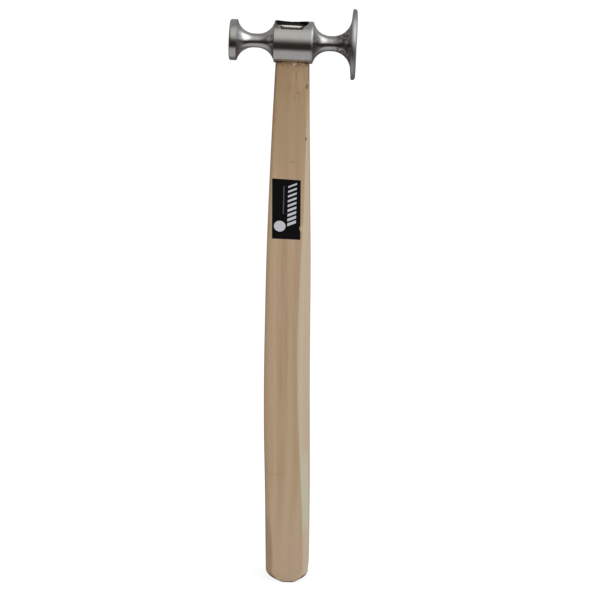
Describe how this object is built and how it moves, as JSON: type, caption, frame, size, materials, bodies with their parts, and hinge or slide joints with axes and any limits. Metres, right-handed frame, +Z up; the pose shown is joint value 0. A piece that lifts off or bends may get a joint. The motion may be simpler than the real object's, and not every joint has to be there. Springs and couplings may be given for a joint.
{
  "type": "auto body hammer",
  "caption": "Light auto body hammer: a turned steel head with a small low-crown face and a wide thin flat face on waisted necks, wedged on a bowed wooden handle with planed corners.",
  "frame": {"origin": "middle of the small flat at the butt of the handle", "axes": "+Z up the handle to the head, +X along the head towards its large flat face, -Y out of the front, where the label is"},
  "size_m": [0.0752, 0.0418, 0.3806],
  "materials": {
    "head_steel": "turned and polished, fine lathe lines, small pits by the large face",
    "handle_wood": "bare, sanded along the grain",
    "wedge_steel": "bare, hammer-struck end",
    "label_film": "thin black sticker, satin gloss"
  },
  "bodies": {
    "root": {"head": "head_steel", "handle": "handle_wood", "wedge": "wedge_steel", "label": "label_film"}
  },
  "joints": []
}
